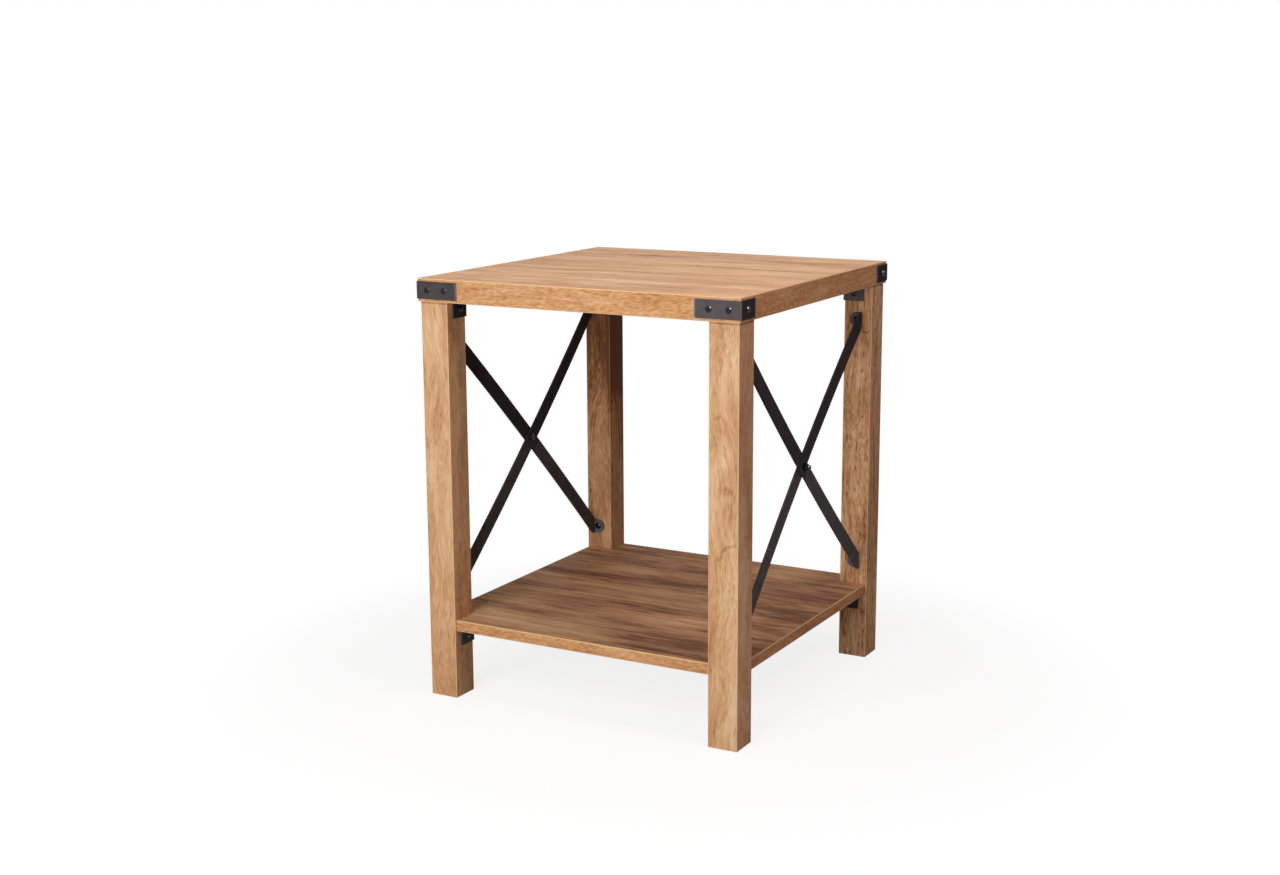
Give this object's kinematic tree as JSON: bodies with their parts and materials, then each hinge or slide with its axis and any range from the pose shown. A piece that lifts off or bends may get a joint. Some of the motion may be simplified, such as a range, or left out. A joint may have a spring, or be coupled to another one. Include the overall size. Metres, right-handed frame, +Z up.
{
  "type": "lamp table",
  "caption": "Square wooden lamp table with a thick top, square legs, a low notched shelf, black corner plates and crossed black brace bars at the sides.",
  "frame": {"origin": "on the floor, at the middle of the four legs", "axes": "+Z up, +X to the right seen from the front, -Y towards the front"},
  "size_m": [0.4654, 0.4654, 0.556],
  "materials": {
    "oak_top": "satin oak grain along X",
    "oak_shelf": "satin oak grain along X",
    "oak_edge": "satin oak grain along the edge",
    "oak_leg": "satin oak grain up the leg",
    "black_plate": "fine matt black powder coat",
    "black_bar": "satin black powder coat",
    "black_fastener": "semi-gloss black",
    "plain_insert": "plain zinc"
  },
  "bodies": {
    "root": {"top_panel": "oak_top", "top_edge_band_front": "oak_edge", "top_edge_band_back": "oak_edge", "top_edge_band_left": "oak_edge", "top_edge_band_right": "oak_edge", "shelf_panel": "oak_shelf", "shelf_edge_band_front": "oak_edge", "shelf_edge_band_back": "oak_edge", "shelf_edge_band_left": "oak_edge", "shelf_edge_band_right": "oak_edge", "leg_front_left": "oak_leg", "leg_front_right": "oak_leg", "leg_back_left": "oak_leg", "leg_back_right": "oak_leg", "corner_plate_front_left": "black_plate", "corner_plate_front_right": "black_plate", "corner_plate_back_left": "black_plate", "corner_plate_back_right": "black_plate", "corner_plate_screws": "black_fastener", "top_bracket_front_left": "black_plate", "top_bracket_front_right": "black_plate", "top_bracket_back_left": "black_plate", "top_bracket_back_right": "black_plate", "shelf_bracket_front_left": "black_plate", "shelf_bracket_front_right": "black_plate", "shelf_bracket_back_left": "black_plate", "shelf_bracket_back_right": "black_plate", "top_bracket_bolts": "black_fastener", "top_bracket_screws": "black_fastener", "top_bracket_inserts": "plain_insert", "shelf_bracket_bolts": "black_fastener", "shelf_bracket_screws": "black_fastener", "shelf_bracket_inserts": "plain_insert", "brace_outer_bar_left": "black_bar", "brace_inner_bar_left": "black_bar", "brace_outer_bar_right": "black_bar", "brace_inner_bar_right": "black_bar", "brace_end_bolts": "black_fastener", "brace_inserts": "plain_insert", "brace_centre_bolts": "black_fastener", "brace_cap_nuts": "black_fastener"}
  },
  "joints": []
}
